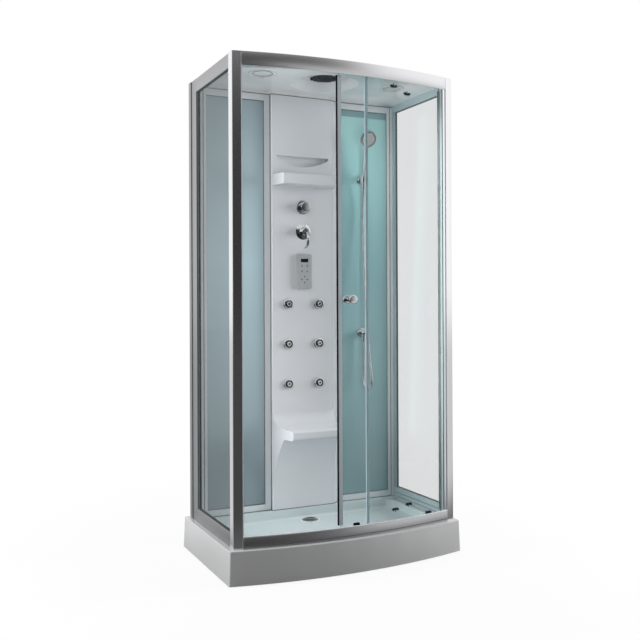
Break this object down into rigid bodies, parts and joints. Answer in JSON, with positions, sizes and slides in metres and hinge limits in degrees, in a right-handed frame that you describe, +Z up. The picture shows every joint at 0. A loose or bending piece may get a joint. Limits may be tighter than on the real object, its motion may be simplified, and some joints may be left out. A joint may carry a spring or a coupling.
{
  "type": "shower cabin",
  "caption": "Bow-fronted shower cabin with a sliding curved glass door, seat column with mixer and body jets, hand shower and rain shower roof",
  "frame": {"origin": "middle of the tray's outer footprint, on the floor under the feet", "axes": "+Z up; -Y is the bowed front, +Y the back with the column; +X is to the right for someone facing the front"},
  "size_m": [1.0998, 0.7136, 2.1853],
  "materials": {
    "tray_acrylic": "white acrylic shell, glossy",
    "column_acrylic": "white acrylic, glossy, thermoformed",
    "steel": "galvanised square tube",
    "steel_feet": "zinc-plated threaded feet",
    "trap_plastic": "moulded waste trap",
    "chrome": "bright chrome plating",
    "profile": "polished anodised aluminium extrusion",
    "profile_inner": "satin anodised aluminium extrusion",
    "side_glass": "lightly frosted toughened glass",
    "front_glass": "clear toughened glass, bent to the bow",
    "back_glass": "back-painted toughened glass, grey-blue",
    "black_rubber": "black magnetic seal",
    "clear_seal": "translucent soft seal",
    "black_plastic": "black glides",
    "chrome_carriage": "plated carriage",
    "screw_steel": "pan-head screws",
    "lamp_plastic": "white diffuser",
    "speaker_plastic": "moulded grille",
    "panel_plastic": "silver-grey keypad housing",
    "display": "dark display window",
    "chrome_plastic": "chromed plastic",
    "hose_metal": "wound metal hose",
    "brass": "cast brass",
    "pipe_plastic": "white flexible pipe",
    "wheel_nylon": "nylon roller"
  },
  "bodies": {
    "cabin": {"shower_tray": "tray_acrylic", "tray_frame": "steel", "tray_feet": "steel_feet", "waste_trap": "trap_plastic", "post_front_left": "profile", "post_front_right": "profile", "post_back_left": "profile", "post_back_right": "profile", "side_rails": "profile", "left_side_glass": "side_glass", "right_side_glass": "side_glass", "front_top_rail": "profile", "front_bottom_rail": "profile", "fixed_front_glass": "front_glass", "fixed_glass_edge_strip": "profile_inner", "pane_guides": "black_plastic", "strike_strip": "profile_inner", "back_wall_frames": "profile", "back_left_panel": "back_glass", "back_right_panel": "back_glass", "centre_column": "column_acrylic", "column_screws": "screw_steel", "roof_panel": "column_acrylic", "rain_head": "chrome", "roof_lamp": "lamp_plastic", "roof_speaker": "speaker_plastic", "diverter_flange": "chrome", "mixer_escutcheon": "chrome", "control_panel": "panel_plastic", "panel_display": "display", "jet_bezels": "chrome_plastic", "holder_base": "chrome_plastic", "wall_outlet": "chrome", "shower_hose": "hose_metal", "mixer_valve": "brass", "supply_pipes": "pipe_plastic"},
    "door": {"door_glass": "front_glass", "door_edge_profile": "profile_inner", "door_magnetic_seal": "black_rubber", "door_rear_seal": "clear_seal", "door_knob_outer": "chrome", "door_knob_inner": "chrome", "roller_brackets": "chrome_carriage", "door_guides": "black_plastic"},
    "drain_cover": {"drain_cover": "chrome"},
    "diverter_knob": {"diverter_knob": "chrome"},
    "mixer_cap": {"mixer_cap": "chrome"},
    "mixer_lever": {"mixer_lever": "chrome"},
    "hand_shower": {"hand_shower": "chrome_plastic"},
    "wheel_top_left": {"wheel_top_left": "wheel_nylon"},
    "wheel_bottom_left": {"wheel_bottom_left": "wheel_nylon"},
    "wheel_top_right": {"wheel_top_right": "wheel_nylon"},
    "wheel_bottom_right": {"wheel_bottom_right": "wheel_nylon"},
    "jet_nozzle_1": {"jet_nozzle_1": "chrome_plastic"},
    "jet_nozzle_2": {"jet_nozzle_2": "chrome_plastic"},
    "jet_nozzle_3": {"jet_nozzle_3": "chrome_plastic"},
    "jet_nozzle_4": {"jet_nozzle_4": "chrome_plastic"},
    "jet_nozzle_5": {"jet_nozzle_5": "chrome_plastic"},
    "jet_nozzle_6": {"jet_nozzle_6": "chrome_plastic"}
  },
  "joints": [
    {"name": "door_slide", "type": "hinge", "parent": "cabin", "child": "door", "pos_m": [0, 1.85332, 0.142], "axis": [0, 0, 1], "range_deg": [-10.67, 0.4]},
    {"name": "roll_top_left", "type": "hinge", "parent": "door", "child": "wheel_top_left", "pos_m": [0.01094, -0.29622, 2.1193], "axis": [-0.0051, 1, 0], "range_deg": [-2090, 84]},
    {"name": "roll_bottom_left", "type": "hinge", "parent": "door", "child": "wheel_bottom_left", "pos_m": [0.01094, -0.29622, 0.1647], "axis": [-0.0051, 1, 0], "range_deg": [-84, 2090]},
    {"name": "roll_top_right", "type": "hinge", "parent": "door", "child": "wheel_top_right", "pos_m": [0.38916, -0.26073, 2.1193], "axis": [-0.181, 0.9835, 0], "range_deg": [-2090, 84]},
    {"name": "roll_bottom_right", "type": "hinge", "parent": "door", "child": "wheel_bottom_right", "pos_m": [0.38916, -0.26073, 0.1647], "axis": [-0.181, 0.9835, 0], "range_deg": [-84, 2090]},
    {"name": "drain_cover_lift", "type": "slide", "parent": "cabin", "child": "drain_cover", "axis": [0, 0, 1], "range_m": [0, 0.03]},
    {"name": "diverter_turn", "type": "hinge", "parent": "cabin", "child": "diverter_knob", "pos_m": [0, 0.214, 1.583], "axis": [0, -1, 0], "range_deg": [-90, 180]},
    {"name": "mixer_turn", "type": "hinge", "parent": "cabin", "child": "mixer_cap", "pos_m": [0, 0.214, 1.467], "axis": [0, -1, 0], "range_deg": [-45, 45]},
    {"name": "mixer_lift", "type": "hinge", "parent": "mixer_cap", "child": "mixer_lever", "pos_m": [0, 0.1902, 1.467], "axis": [-1, 0, 0], "range_deg": [0, 25]},
    {"name": "jet_tilt_1", "type": "hinge", "parent": "cabin", "child": "jet_nozzle_1", "pos_m": [-0.0795, 0.218, 0.745], "axis": [1, 0, 0], "range_deg": [-15, 15]},
    {"name": "jet_tilt_2", "type": "hinge", "parent": "cabin", "child": "jet_nozzle_2", "pos_m": [0.0795, 0.218, 0.745], "axis": [1, 0, 0], "range_deg": [-15, 15]},
    {"name": "jet_tilt_3", "type": "hinge", "parent": "cabin", "child": "jet_nozzle_3", "pos_m": [-0.0795, 0.218, 0.934], "axis": [1, 0, 0], "range_deg": [-15, 15]},
    {"name": "jet_tilt_4", "type": "hinge", "parent": "cabin", "child": "jet_nozzle_4", "pos_m": [0.0795, 0.218, 0.934], "axis": [1, 0, 0], "range_deg": [-15, 15]},
    {"name": "jet_tilt_5", "type": "hinge", "parent": "cabin", "child": "jet_nozzle_5", "pos_m": [-0.0795, 0.218, 1.123], "axis": [1, 0, 0], "range_deg": [-15, 15]},
    {"name": "jet_tilt_6", "type": "hinge", "parent": "cabin", "child": "jet_nozzle_6", "pos_m": [0.0795, 0.218, 1.123], "axis": [1, 0, 0], "range_deg": [-15, 15]},
    {"name": "hand_shower_lift", "type": "slide", "parent": "cabin", "child": "hand_shower", "axis": [0, -0.1392, 0.9903], "range_m": [0, 0.06], "deforming": ["shower_hose"]}
  ],
  "couplings": [
    {"joint": "roll_top_left", "follows": "door_slide", "ratio": 195.42},
    {"joint": "roll_bottom_left", "follows": "door_slide", "ratio": -195.42},
    {"joint": "roll_top_right", "follows": "door_slide", "ratio": 195.42},
    {"joint": "roll_bottom_right", "follows": "door_slide", "ratio": -195.42}
  ]
}
